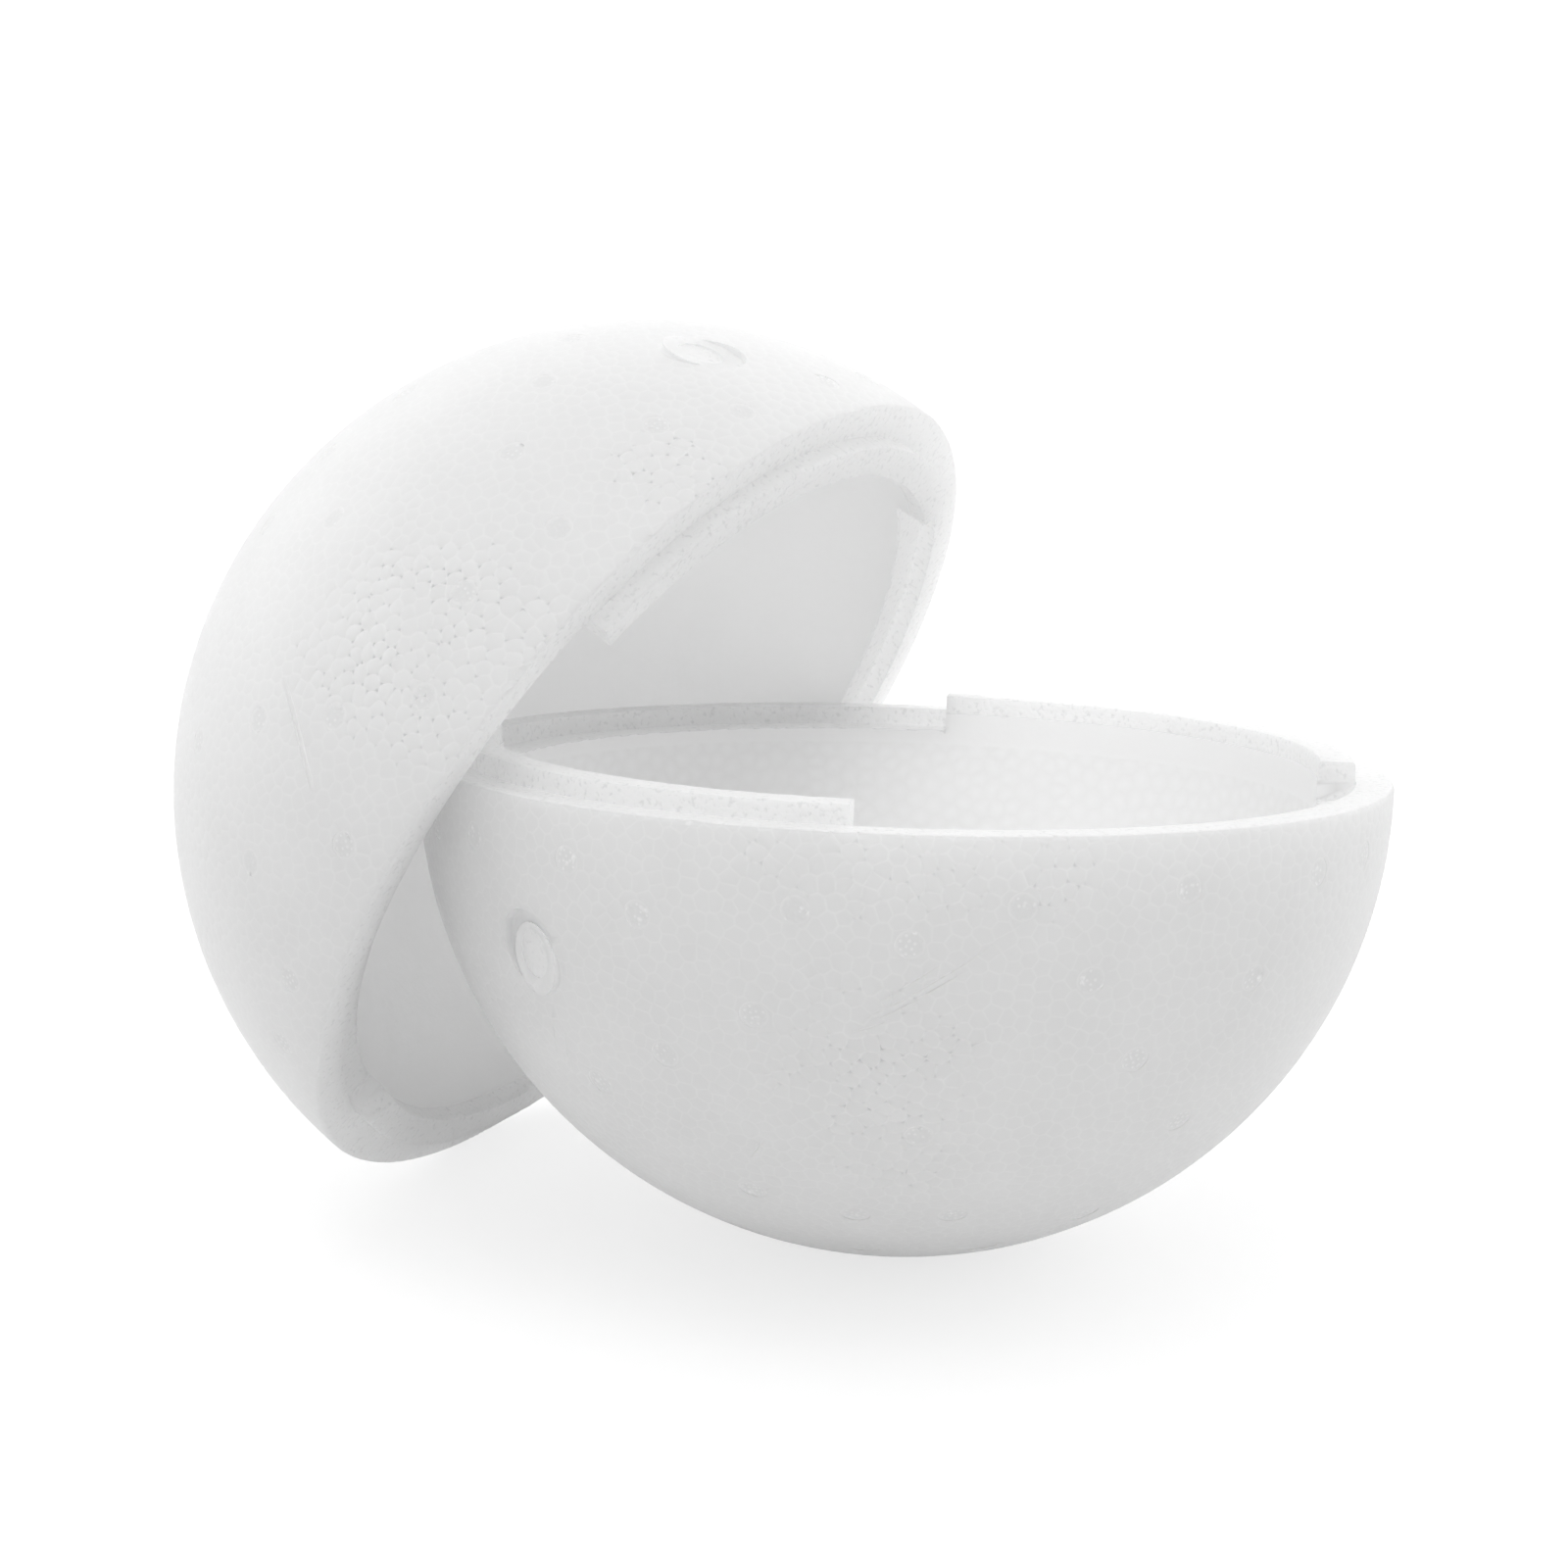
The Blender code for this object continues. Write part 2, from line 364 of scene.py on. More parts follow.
def face_outwards(obj):
    pick(obj)
    bpy.ops.object.mode_set(mode="EDIT")
    bpy.ops.mesh.select_all(action="SELECT")
    bpy.ops.mesh.normals_make_consistent(inside=False)
    bpy.ops.object.mode_set(mode="OBJECT")


def cut_across(obj, height, keep_above=True):
    """A level cut right round, in the units of the unit sphere. What lies above can be dropped."""
    pick(obj)
    bpy.ops.object.mode_set(mode="EDIT")
    bpy.ops.mesh.select_all(action="SELECT")
    bpy.ops.mesh.bisect(plane_co=(0, 0, height), plane_no=(0, 0, 1), clear_outer=not keep_above)
    bpy.ops.object.mode_set(mode="OBJECT")


def skin(name, outer, seed, spots):
    """One side's skin of beads, trimmed and laid on its form. Returns points, faces, seam values."""
    if outer:
        reach = math.radians(OUTER_REACH)
        verts, faces, painted_shading = bead_skin(OUTER_BEAD, OUTER_R, reach, seed, spots, OUTER_BASE, True)
        ends = [S_BAND, 0.5 * (S_BAND + S_EDGE), S_EDGE]
        obj = mesh_piece(name, verts, faces, painted_shading)
        for s in ends:
            cut_across(obj, -math.cos(s / OUTER_R))
        cut_across(obj, -math.cos(S_LIP / OUTER_R), False)
        place = outer_place
    else:
        reach = math.radians(INNER_REACH)
        verts, faces, painted_shading = bead_skin(INNER_BEAD, INNER_R, reach, seed, [], INNER_BASE, False)
        obj = mesh_piece(name, verts, faces, painted_shading)
        cut_across(obj, INNER_CUT / INNER_R, False)
        place = inner_place
    mesh = obj.data
    points = [place(v.co) for v in mesh.vertices]
    polys = [tuple(p.vertices) for p in mesh.polygons]
    values = np.zeros(len(mesh.vertices))
    mesh.attributes["painted_shading"].data.foreach_get("value", values)
    bpy.data.objects.remove(obj)
    bpy.data.meshes.remove(mesh)
    return points, polys, list(values)


# Stepped rim

def rim_rows(tongue):
    """Section of the rim from the lip's inner edge over the step and down the inner side."""
    if tongue:
        rows = [(LIP_R, RIM_Z), (TONGUE_OUT + 0.02, RIM_Z)]
        rows += [(TONGUE_OUT, z) for z in (2.6, 3.5, 4.4, 5.05)]
        rows += [(TONGUE_OUT - 0.2, 5.5), (TONGUE_OUT - 0.65, TONGUE_Z)]
        rows += [(r, TONGUE_Z) for r in (90.2, 89.15, 88.1, 87.05, 86.1)]
        rows += [(TONGUE_IN + 0.65, TONGUE_Z), (TONGUE_IN + 0.2, 5.5)]
        rows += [(TONGUE_IN, z) for z in (5.05, 4.2, 3.3, 2.4, 1.8)]
        rows += [(INNER_R, 1.6), (INNER_R, 0.5), (INNER_R, -0.6), (84.29, -1.7)]
    else:
        rows = [(LIP_R, z) for z in (RIM_Z, 1.2, 0.4, -0.5, -1.4, -2.0)]
        rows += [(LIP_R - 0.12, -2.22), (LIP_R - 0.5, GROOVE_Z)]
        rows += [(r, GROOVE_Z) for r in np.linspace(LIP_R - 1.3, 85.1, 8)]
        rows += [(84.5, GROOVE_Z - 0.03), (84.3, GROOVE_Z - 0.2)]
    rows += [(math.sqrt(INNER_R ** 2 - z ** 2), z) for z in BAND_ROWS]
    return rows


def rim_band(seed):
    """The step, the tongues and the grooves as one closed band. Returns points, faces, loops."""
    rng = np.random.default_rng(seed)
    shift = Vector(rng.uniform(-50.0, 50.0, 3))
    points, columns = [], []
    for quarter in range(4):
        tongue = quarter % 2 == 0
        rows = rim_rows(tongue)
        inset = math.degrees(FIT / 88.0) if tongue else 0.0
        first, last = 90.0 * quarter + inset, 90.0 * (quarter + 1) - inset
        for k in range(BAND_STEPS + 1):
            azimuth = math.radians(first + (last - first) * k / BAND_STEPS)
            c, s = math.cos(azimuth), math.sin(azimuth)
            start = len(points)
            for i, (r, z) in enumerate(rows):
                p = Vector((r * c, r * s, z))
                if 0 < k < BAND_STEPS and 0 < i < len(rows) - 1:
                    rough = 0.11 if z > GROOVE_Z - 0.3 and r > INNER_R + 0.1 else 0.05
                    broad = Vector(noise.noise_vector(p * 0.55 + shift))
                    close = Vector(noise.noise_vector(p * 1.7 + shift))
                    p = p + rough * (broad + 0.5 * close)
                points.append(p)
            columns.append(list(range(start, len(points))))
    faces = []
    common = len(BAND_ROWS)
    for j, here in enumerate(columns):
        after = columns[(j + 1) % len(columns)]
        if len(here) == len(after):
            shared = len(here)
        else:
            # The end wall of a tongue and of the groove beside it
            shared = common
            faces.append(tuple(here[:len(here) - common + 1] + after[:len(after) - common + 1][::-1]))
        one, two = here[-shared:], after[-shared:]
        for i in range(shared - 1):
            faces.append((one[i], one[i + 1], two[i + 1], two[i]))
    return points, faces, [column[0] for column in columns], [column[-1] for column in columns]


def edge_loop(points, faces):
    """The open edge of a skin, in order of azimuth."""
    count = {}
    for face in faces:
        for j in range(len(face)):
            key = tuple(sorted((face[j], face[(j + 1) % len(face)])))
            count[key] = count.get(key, 0) + 1
    loop = {v for key, n in count.items() if n == 1 for v in key}
    return sorted(loop, key=lambda i: math.atan2(points[i].y, points[i].x) % (2.0 * math.pi))


def lace(points, one, two):
    """Triangles between two rings of points with different spacing."""
    turn = [[math.atan2(points[i].y, points[i].x) % (2.0 * math.pi) for i in ring] for ring in (one, two)]
    one = [one[k] for k in np.argsort(turn[0])]
    two = [two[k] for k in np.argsort(turn[1])]
    a, b = sorted(turn[0]), sorted(turn[1])
    a.append(a[0] + 2.0 * math.pi)
    b.append(b[0] + 2.0 * math.pi)
    i = j = 0
    faces = []
    while i < len(one) or j < len(two):
        p, q = one[i % len(one)], two[j % len(two)]
        if j == len(two) or (i < len(one) and a[i + 1] <= b[j + 1]):
            faces.append((p, one[(i + 1) % len(one)], q))
            i += 1
        else:
            faces.append((p, two[(j + 1) % len(two)], q))
            j += 1
    return faces


def moulding(name, seed, spots):
    """The whole closed half in its own millimetres."""
    outer = skin(name + "_outer", True, seed, spots)
    inner = skin(name + "_inner", False, seed + 1, [])
    band = rim_band(seed + 2)
    points = outer[0] + inner[0] + band[0]
    painted_shading = outer[2] + inner[2] + [0.0] * len(band[0])
    n1, n2 = len(outer[0]), len(outer[0]) + len(inner[0])
    faces = list(outer[1])
    faces += [tuple(i + n1 for i in f) for f in inner[1]]
    faces += [tuple(i + n2 for i in f) for f in band[1]]
    faces += lace(points, edge_loop(outer[0], outer[1]), [i + n2 for i in band[2]])
    faces += lace(points, [i + n1 for i in edge_loop(inner[0], inner[1])], [i + n2 for i in band[3]])
    shift = Vector((seed * 0.37, 3.1, 7.7))
    laid_points = []
    for i, p in enumerate(points):
        if i < n2:
            p = p * (1.0 + 0.0007 * (noise.noise(p * 0.045 + shift) - 0.35))
        laid_points.append(p)
    obj = mesh_piece(name, laid_points, faces, painted_shading)
    # 1 on the torn rim; -1 on the inner side, which is painted lighter as painted light
    torn_rim_and_painted_light_inside = [1.0 if p.z > RIM_Z - 0.2 else 0.0 for p in outer[0]] + [-1.0] * len(inner[0])
    torn_rim_and_painted_light_inside += [-1.0 if math.hypot(p.x, p.y) < INNER_R + 0.2 and p.z < RIM_Z else 1.0 for p in band[0]]
    obj.data.attributes.new("torn_rim_and_painted_light_inside", "FLOAT", "POINT").data.foreach_set("value", torn_rim_and_painted_light_inside)
    pick(obj)
    bpy.ops.object.mode_set(mode="EDIT")
    bpy.ops.mesh.select_all(action="SELECT")
    bpy.ops.mesh.remove_doubles(threshold=0.012)
    bpy.ops.mesh.dissolve_degenerate(threshold=0.004)
    bpy.ops.mesh.normals_make_consistent(inside=False)
    bpy.ops.object.mode_set(mode="OBJECT")
    return obj


# Marks, vents and damage

def square_to(azimuth, polar, height, aim=None):
    """Matrix in the moulding's millimetres, on the outer side, with Z straight out."""
    out = direction(azimuth, polar)
    facing = direction(*aim) if aim else out
    return Matrix.Translation(out * (OUTER_R + height)) @ facing.to_track_quat("Z", "Y").to_matrix().to_4x4()


def round_tool(name, radius, low, high, where, sides=48):
    """A round punch along the local Z of a place."""
    bpy.ops.object.select_all(action="DESELECT")
    bpy.ops.mesh.primitive_cylinder_add(vertices=sides, radius=radius, depth=high - low)
    obj = bpy.context.object
    obj.name = name
    obj.data.transform(where @ Matrix.Translation((0.0, 0.0, 0.5 * (high + low))))
    return obj


def torn_lump(name, azimuth, radius, height, size, seed):
    """A rough lump that tears a bite out of the rim."""
    bpy.ops.object.select_all(action="DESELECT")
    bpy.ops.mesh.primitive_ico_sphere_add(subdivisions=2, radius=size)
    obj = bpy.context.object
    obj.name = name
    bpy.ops.object.mode_set(mode="EDIT")
    bpy.ops.transform.vertex_random(offset=0.16 * size, seed=seed)
    bpy.ops.object.mode_set(mode="OBJECT")
    a = math.radians(azimuth)
    obj.data.transform(Matrix.Translation((radius * math.cos(a), radius * math.sin(a), height)))
    return obj


def blade(name, line, width, depth, tone):
    """A slim wedge along a line on the skin, a cut or a dent, and the tone painted at its bottom: above 0 a
    painted highlight, below 0 painted shade.
    """
    path = []
    for k in range(len(line) - 1):
        for t in (0.0, 0.25, 0.5, 0.75):
            path.append([line[k][i] + (line[k + 1][i] - line[k][i]) * t for i in (0, 1)])
    path.append(line[-1])
    verts, faces = [], []
    count = len(path)
    for k, (azimuth, polar) in enumerate(path):
        here = direction(azimuth, polar)
        ahead = direction(*path[min(k + 1, count - 1)]) - direction(*path[max(k - 1, 0)])
        side = here.cross(ahead).normalized()
        swell = math.sin(math.pi * (k + 0.35) / (count - 0.3)) ** 0.7
        wide, deep = 0.5 * width * swell, depth * (0.25 + 0.75 * swell)
        for across, high in ((-wide, 0.5), (wide, 0.5), (0.15 * wide, -deep)):
            verts.append(here * (OUTER_R + high) + side * across)
    for k in range(count - 1):
        a, b = 3 * k, 3 * k + 3
        faces += [(a, a + 1, b + 1, b), (a + 1, a + 2, b + 2, b + 1), (a + 2, a, b, b + 2)]
    faces += [(0, 2, 1), (3 * count - 3, 3 * count - 2, 3 * count - 1)]
    obj = mesh_piece(name, verts, faces, [0.0] * len(verts))
    face_outwards(obj)
    return obj, [(v, tone) for v in verts[2::3]]


def carve(obj, tool, operation):
    mod = obj.modifiers.new(operation, "BOOLEAN")
    mod.operation = operation
    mod.object = tool
    mod.solver = "EXACT"
    pick(obj)
    bpy.ops.object.modifier_apply(modifier=mod.name)
    mesh = tool.data
    bpy.data.objects.remove(tool)
    bpy.data.meshes.remove(mesh)


def all_vents():
    """The vents of the side in view, and the same pattern on the two thirds behind it."""
    places = list(VENTS)
    for turn in VENT_TURNS:
        places += [((azimuth + turn) % 360.0, polar) for azimuth, polar in VENTS]
    kept = []
    for azimuth, polar in places:
        d = direction(azimuth, polar)
        if all(d.angle(direction(*other)) > math.radians(VENT_APART) for other in kept):
            if d.angle(direction(*MARK_RECESS)) > math.radians(VENT_FROM_MARK):
                kept.append((azimuth, polar))
    return kept


def vent_tool(name, azimuth, polar, depth, rng):
    """Punch with twelve small pits in its end, which leave a core vent's raised dots. Its marks paint a
    highlight on the side of the rim that faces the light and on the dots' tops, and a little painted shade
    round each dot.
    """
    where = square_to(azimuth, polar, 0.0)
    out = direction(azimuth, polar)
    up = (Vector((0.0, 0.0, 1.0)) - out * out.z).normalized()
    lit = up - up.cross(out)
    flat, marks = [], []
    for reach in (VENT_RIM_R, VENT_FLOOR_R):
        for k in range(VENT_SIDES):
            a = 2.0 * math.pi * k / VENT_SIDES
            flat.append(Vector((math.cos(a), math.sin(a))) * reach)
            # Painted highlight on the side of the vent's rim that faces the light
            if reach == VENT_RIM_R:
                side = (where.to_3x3() @ Vector((math.cos(a), math.sin(a), 0.0))).dot(lit)
                marks.append((k, max(0.0, 0.5 * side)))
    high = [-depth] * (2 * VENT_SIDES)
    spin = rng.uniform(0.0, 90.0)
    spots = [(ring, first + 360.0 / n * k) for n, ring, first in DOT_RINGS for k in range(n)]
    for reach, turn in spots:
        a = math.radians(turn + spin + rng.normal(0.0, 2.0))
        hub = Vector((math.cos(a), math.sin(a))) * reach
        wide = rng.uniform(0.38, 0.46)
        for k in range(6):
            b = math.pi * k / 3.0
            # Painted shade round each dot, a painted highlight on its top
            marks.append((len(flat), -0.10))
            flat.append(hub + Vector((math.cos(b), math.sin(b))) * wide)
            high.append(-depth)
        marks.append((len(flat), 1.6))
        flat.append(hub)
        high.append(-depth * rng.uniform(0.15, 0.45))
    _, _, tris, origin, _, _ = delaunay_2d_cdt(flat, [], [], 0, 1e-7)
    ids = [o[0] for o in origin]
    verts = [Vector((p.x, p.y, z)) for p, z in zip(flat, high)]
    faces = [tuple(ids[i] for i in tri) for tri in tris]
    top = len(verts)
    verts += [Vector((p.x, p.y, 2.0)) for p in flat[:VENT_SIDES]]
    for k in range(VENT_SIDES):
        m = (k + 1) % VENT_SIDES
        faces.append((k, m, top + m, top + k))
    faces.append(tuple(range(top, top + VENT_SIDES)))
    obj = mesh_piece(name, [where @ v for v in verts], faces, [0.0] * len(verts))
    face_outwards(obj)
    return obj, [(where @ verts[i], value) for i, value in marks]


def tint(half, marks):
    """Gives the points that a tool left the seam values that belong there, which are painted light and
    shade.
    """
    tree = KDTree(len(marks))
    for k, mark in enumerate(marks):
        tree.insert(mark[0], k)
    tree.balance()
    values = half.data.attributes["painted_shading"].data
    for v in half.data.vertices:
        _, k, gap = tree.find(v.co)
        if gap < 0.03:
            values[v.index].value = marks[k][1]


def tint_disc(half, where, radius, height, value):
    """The same for a flat round face, by its place, radius and height."""
    back = where.inverted()
    values = half.data.attributes["painted_shading"].data
    for v in half.data.vertices:
        p = back @ v.co
        if abs(p.z - height) < 0.02 and math.hypot(p.x, p.y) < radius + 0.02:
            values[v.index].value = value


def dressed_half(name, node, place, seed, spots, chips, cuts, depth, sunk, mat):
    """One half with its marks and damage, laid where its solid lies.

    Vents are cut to a depth, and the mark's recess is sunk below the outer side.
    """
    half = moulding(name, seed, spots)
    rng = np.random.default_rng(seed + 5)
    recess, plug, piston = (square_to(*at, MARK_SINK, MARK_AXIS)
                            for at in (MARK_RECESS, MARK_PLUG, MARK_PISTON))
    recess_floor = PLUG_TOP - sunk
    tools = [torn_lump(name + "_chip", *chip, seed + k) for k, chip in enumerate(chips)]
    marked = [blade(name + "_cut", *cut) for cut in cuts]
    marked += [vent_tool(name + "_vent", a, p, depth, rng) for a, p in all_vents()]
    tools += [made[0] for made in marked]
    tools.append(round_tool(name + "_recess", RECESS_R, recess_floor, TOOL_TOP, recess))
    tool = tools.pop(0)
    for other in tools:
        carve(tool, other, "UNION")
    carve(half, tool, "DIFFERENCE")
    carve(half, round_tool(name + "_plug", PLUG_R, PLUG_ROOT, PLUG_TOP, plug), "UNION")
    carve(half, round_tool(name + "_piston", PISTON_R, PISTON_FLOOR, TOOL_TOP, piston), "DIFFERENCE")
    tint(half, [mark for made in marked for mark in made[1]])
    # Painted shade on the recess floor, painted light on the plug and on the dimple's floor
    tint_disc(half, recess, RECESS_R, recess_floor, -0.8 * sunk)
    tint_disc(half, plug, PLUG_R, PLUG_TOP, 1.1 * sunk)
    tint_disc(half, piston, PISTON_R, PISTON_FLOOR, 1.1 * sunk)

    half.data.transform(laid(place))
    for v in half.data.vertices:
        v.co.z = max(v.co.z, 0.0)
    pick(half)
    bpy.ops.object.shade_smooth_by_angle(angle=math.radians(32.0))
    half.data.materials.clear()
    half.data.materials.append(mat)
    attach(half, "root")
    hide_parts(node)
    return half


# Finish

def math_node(tree, kind, a, b):
    """A Math node on two values, each a number or a socket. Returns its output."""
    node = tree.nodes.new("ShaderNodeMath")
    node.operation = kind
    for socket, value in ((0, a), (1, b)):
        if isinstance(value, (int, float)):
            node.inputs[socket].default_value = value
        else:
            tree.links.new(value, node.inputs[socket])
    return node.outputs[0]


def bead_foam(name, seed, grey):
    """White fused-bead foam: satin skin of a given grey, fine pores, light that sinks in. The grey, the
    lighter inner side and the seam values are painted light and shade.
    """
    mat = bpy.data.materials.new(name)
    mat.use_nodes = True
    nodes, links = mat.node_tree.nodes, mat.node_tree.links
    shader = nodes["Principled BSDF"]
    coords = nodes.new("ShaderNodeTexCoord")
    place = nodes.new("ShaderNodeMapping")
    place.inputs["Location"].default_value = (seed * 0.013, seed * 0.007, 0.0)
    links.new(coords.outputs["Object"], place.inputs["Vector"])

    def texture(kind, scale, **more):
        node = nodes.new(kind)
        node.inputs["Scale"].default_value = scale
        for key, value in more.items():
            node.inputs[key].default_value = value
        links.new(place.outputs["Vector"], node.inputs["Vector"])
        return node

    def mix_range(source, low, high, to_low, to_high):
        node = nodes.new("ShaderNodeMapRange")
        node.inputs["From Min"].default_value = low
        node.inputs["From Max"].default_value = high
        node.inputs["To Min"].default_value = to_low
        node.inputs["To Max"].default_value = to_high
        links.new(source, node.inputs["Value"])
        return node.outputs["Result"]

    painted_shading = nodes.new("ShaderNodeAttribute")
    painted_shading.attribute_name = "painted_shading"
    torn_rim_and_painted_light_inside = nodes.new("ShaderNodeAttribute")
    torn_rim_and_painted_light_inside.attribute_name = "torn_rim_and_painted_light_inside"

    patch = texture("ShaderNodeTexNoise", 55.0, Detail=1.0)
    grain = texture("ShaderNodeTexNoise", 850.0, Detail=2.0)

    # Colour: nearly white, with a painted highlight along shallow seams and painted shade in the pits
    # between beads
    tone = mix_range(patch.outputs["Fac"], 0.3, 0.7, 0.0, 1.0)

    def blend(a, b, factor):
        node = nodes.new("ShaderNodeMix")
        node.data_type = "RGBA"
        for socket, value in (("A", a), ("B", b)):
            if isinstance(value, tuple):
                node.inputs[socket].default_value = (*value, 1.0)
            else:
                links.new(value, node.inputs[socket])
        links.new(factor, node.inputs["Factor"])
        return node.outputs["Result"]

    # The grey itself is painted light and shade, different for each half
    colour = blend((grey - 0.008,) * 3, (grey + 0.012,) * 3, tone)
    colour = blend(colour, (0.945, 0.945, 0.945), mix_range(torn_rim_and_painted_light_inside.outputs["Fac"], 0.0, 1.0, 0.0, 1.0))
    # Painted light: the inner side is painted lighter than the outer side
    colour = blend(colour, (0.985, 0.985, 0.985), mix_range(torn_rim_and_painted_light_inside.outputs["Fac"], 0.0, -1.0, 0.0, 1.0))
    # Painted highlight where the seam value is above 0: seams, vent dots and rims, cut bottoms, the mark's
    # plug
    colour = blend(colour, (grey + 0.075,) * 3, mix_range(painted_shading.outputs["Fac"], 0.0, 1.0, 0.0, 1.0))
    cracks = mix_range(grain.outputs["Fac"], 0.44, 0.30, 0.0, 0.8)
    cracks = math_node(mat.node_tree, "MULTIPLY", cracks, mix_range(torn_rim_and_painted_light_inside.outputs["Fac"], 0.3, 1.0, 0.0, 1.0))
    colour = blend(colour, (0.80, 0.803, 0.806), cracks)
    # Painted shade where the seam value is below 0: deep pits, cut bottoms, the mark's recess
    colour = blend(colour, (0.62, 0.625, 0.63), mix_range(painted_shading.outputs["Fac"], 0.0, -1.0, 0.0, 1.0))
    links.new(colour, shader.inputs["Base Color"])

    links.new(mix_range(grain.outputs["Fac"], 0.3, 0.7, 0.36, 0.52), shader.inputs["Roughness"])
    shader.inputs["IOR"].default_value = 1.5
    shader.inputs["Subsurface Weight"].default_value = 0.65
    shader.inputs["Subsurface Radius"].default_value = (1.0, 1.0, 1.0)
    shader.inputs["Subsurface Scale"].default_value = 0.05

    # Relief finer than the beads: a faint grain all over, coarse where the foam is torn
    coarse = mix_range(torn_rim_and_painted_light_inside.outputs["Fac"], 0.0, 1.0, 0.10, 0.8)
    total = math_node(mat.node_tree, "MULTIPLY", grain.outputs["Fac"], coarse)
    bump = nodes.new("ShaderNodeBump")
    bump.inputs["Strength"].default_value = 0.7
    bump.inputs["Distance"].default_value = 0.0006
    links.new(total, bump.inputs["Height"])
    links.new(bump.outputs["Normal"], shader.inputs["Normal"])
    return mat


# One foam, in two greys, which are painted light and shade: the bowl is painted darker and the leaning half
# lighter, to make up for light that doesn't match otherwise.
BOWL_SHADED_GREY = 0.77
LID_LIT_GREY = 0.895

dressed_half("bowl_shell", "bowl_half", BOWL_PLACE, 11, BOWL_STRONG, BOWL_CHIPS, BOWL_CUTS,
             depth=0.18, sunk=0.6, mat=bead_foam("bowl_shaded_bead_foam", 1, BOWL_SHADED_GREY))
dressed_half("leaning_shell", "leaning_half", LID_PLACE, 47, LID_STRONG, LID_CHIPS, LID_CUTS,
             depth=0.15, sunk=0.15, mat=bead_foam("leaning_lit_bead_foam", 2, LID_LIT_GREY))


# Table, light and camera

TABLE_BOUNCE = 0.88         # how much light the table throws back
TABLE_SEEN = 0.36           # what the eye sees of the light on it, so that a soft shadow is left
TABLE_GLOW = 0.72           # and the white that is added


def white_table():
    """White to the eye with a soft shadow, and a plain white card to all other rays."""
    bpy.ops.object.select_all(action="DESELECT")
    bpy.ops.mesh.primitive_plane_add(size=16.0, location=(0.0, 4.0, 0.0))
    table = bpy.context.object
    table.name = "white_table"
    mat = bpy.data.materials.new("white_table")
    mat.use_nodes = True
    nodes, links = mat.node_tree.nodes, mat.node_tree.links
    nodes.clear()
    out = nodes.new("ShaderNodeOutputMaterial")
    plain = nodes.new("ShaderNodeBsdfPrincipled")
    plain.inputs["Base Color"].default_value = (TABLE_BOUNCE,) * 3 + (1.0,)
    plain.inputs["Roughness"].default_value = 1.0
    pale = nodes.new("ShaderNodeBsdfDiffuse")
    pale.inputs["Color"].default_value = (TABLE_SEEN,) * 3 + (1.0,)
    glow = nodes.new("ShaderNodeEmission")
    glow.inputs["Color"].default_value = (1.0, 1.0, 1.0, 1.0)
    glow.inputs["Strength"].default_value = TABLE_GLOW
    both = nodes.new("ShaderNodeAddShader")
    links.new(pale.outputs[0], both.inputs[0])
    links.new(glow.outputs[0], both.inputs[1])
    seen = nodes.new("ShaderNodeMixShader")
    links.new(seen_rays(mat.node_tree), seen.inputs[0])
    links.new(plain.outputs[0], seen.inputs[1])
    links.new(both.outputs[0], seen.inputs[2])
    links.new(seen.outputs[0], out.inputs["Surface"])
    table.data.materials.append(mat)


def seen_rays(tree):
    """1 for rays that show the background: from the camera, in gloss and through glass."""
    path = tree.nodes.new("ShaderNodeLightPath")
    first = math_node(tree, "MAXIMUM", path.outputs["Is Camera Ray"], path.outputs["Is Glossy Ray"])
    return math_node(tree, "MAXIMUM", first, path.outputs["Is Transmission Ray"])


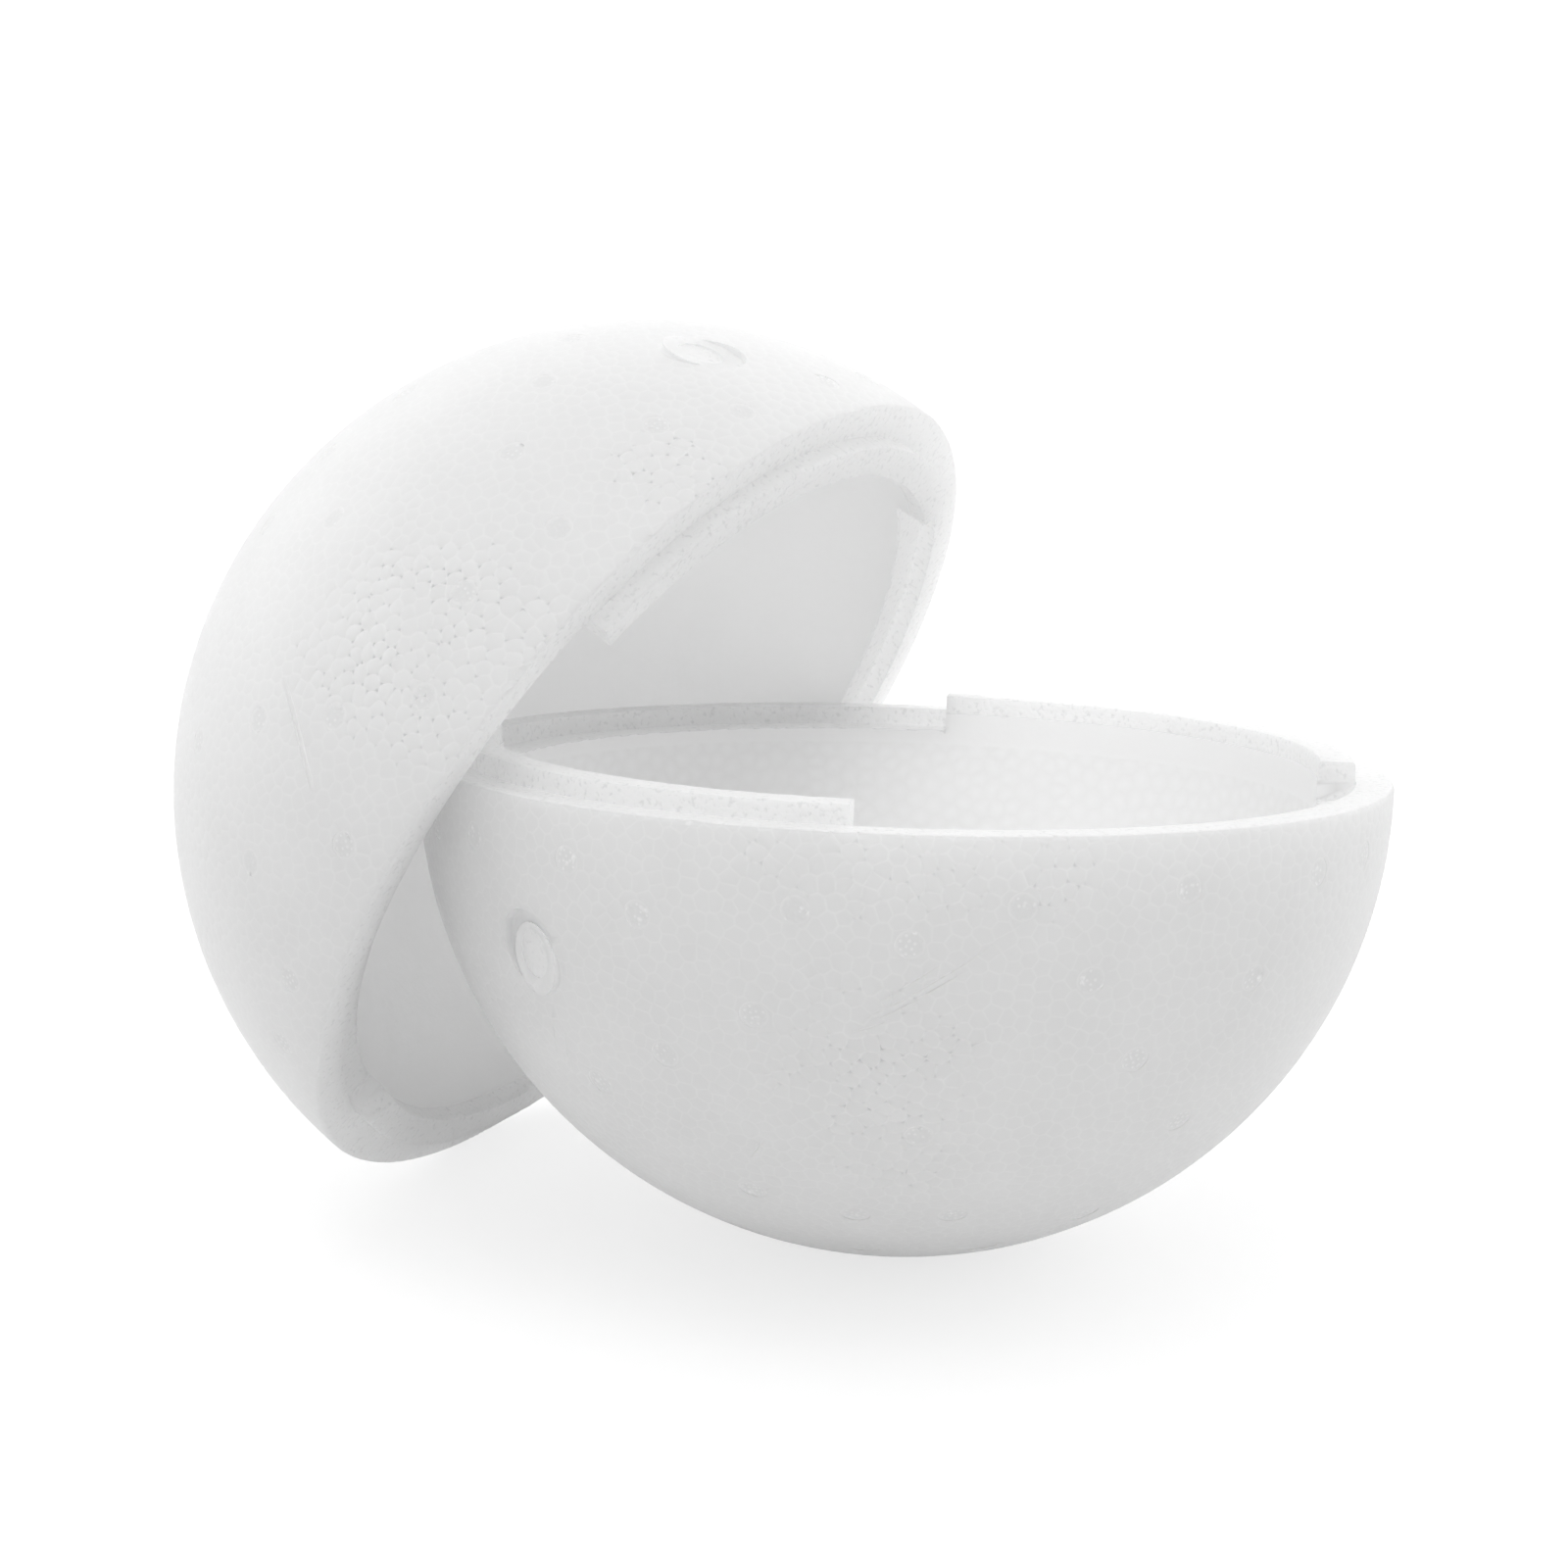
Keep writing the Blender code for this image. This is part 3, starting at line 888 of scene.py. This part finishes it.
def white_room(panels):
    """White all round to the eye. Its light comes from soft panels: direction, focus, strength."""
    world = bpy.data.worlds.new("white_room")
    bpy.context.scene.world = world
    world.use_nodes = True
    tree = world.node_tree
    nodes, links = tree.nodes, tree.links
    nodes.clear()
    out = nodes.new("ShaderNodeOutputWorld")
    ways = nodes.new("ShaderNodeTexCoord")

    total = None
    for azimuth, height, focus, strength in panels:
        a, e = math.radians(azimuth), math.radians(height)
        along = nodes.new("ShaderNodeVectorMath")
        along.operation = "DOT_PRODUCT"
        links.new(ways.outputs["Generated"], along.inputs[0])
        way = (math.cos(a) * math.cos(e), math.sin(a) * math.cos(e), math.sin(e))
        along.inputs[1].default_value = way
        lit = math_node(tree, "MAXIMUM", along.outputs["Value"], 0.0)
        lit = math_node(tree, "MULTIPLY", math_node(tree, "POWER", lit, focus), strength)
        total = lit if total is None else math_node(tree, "ADD", total, lit)
    light = nodes.new("ShaderNodeBackground")
    light.inputs["Color"].default_value = (1.0, 1.0, 1.0, 1.0)
    links.new(total, light.inputs["Strength"])
    shown = nodes.new("ShaderNodeBackground")
    shown.inputs["Color"].default_value = (1.0, 1.0, 1.0, 1.0)
    shown.inputs["Strength"].default_value = 1.0
    mix = nodes.new("ShaderNodeMixShader")
    links.new(seen_rays(tree), mix.inputs[0])
    links.new(light.outputs[0], mix.inputs[1])
    links.new(shown.outputs[0], mix.inputs[2])
    links.new(mix.outputs[0], out.inputs["Surface"])


# Panels: azimuth and height of the direction they shine from, focus, strength
white_table()
white_room([
    (45.0, 12.0, 4.0, 2.45),        # bright backdrop, right
    (135.0, 12.0, 4.0, 2.55),       # bright backdrop, left
    (0.0, 12.0, 4.0, 0.10),         # fill, right
    (315.0, 48.0, 4.0, 0.25),       # fill from the camera's right
    (270.0, 20.0, 4.0, 0.60),       # fill from the camera
    (201.8, 74.3, 24.0, 2.80),      # softbox overhead
    (280.0, 68.0, 24.0, 2.60),      # softbox over the camera
])

# The camera was fitted to both outlines and both rims
view = bpy.data.cameras.new("camera")
view.lens = 87.75
view.sensor_width = 36.0
view.clip_end = 50.0
camera = bpy.data.objects.new("camera", view)
bpy.context.scene.collection.objects.link(camera)
camera.location = (0.002266, -0.77376, 0.306391)
camera.rotation_euler = (math.radians(74.555), 0.0, 0.0)
bpy.context.scene.camera = camera
bpy.context.scene.view_settings.view_transform = "Standard"
bpy.context.scene.cycles.diffuse_bounces = 8
bpy.context.scene.cycles.adaptive_threshold = 0.06
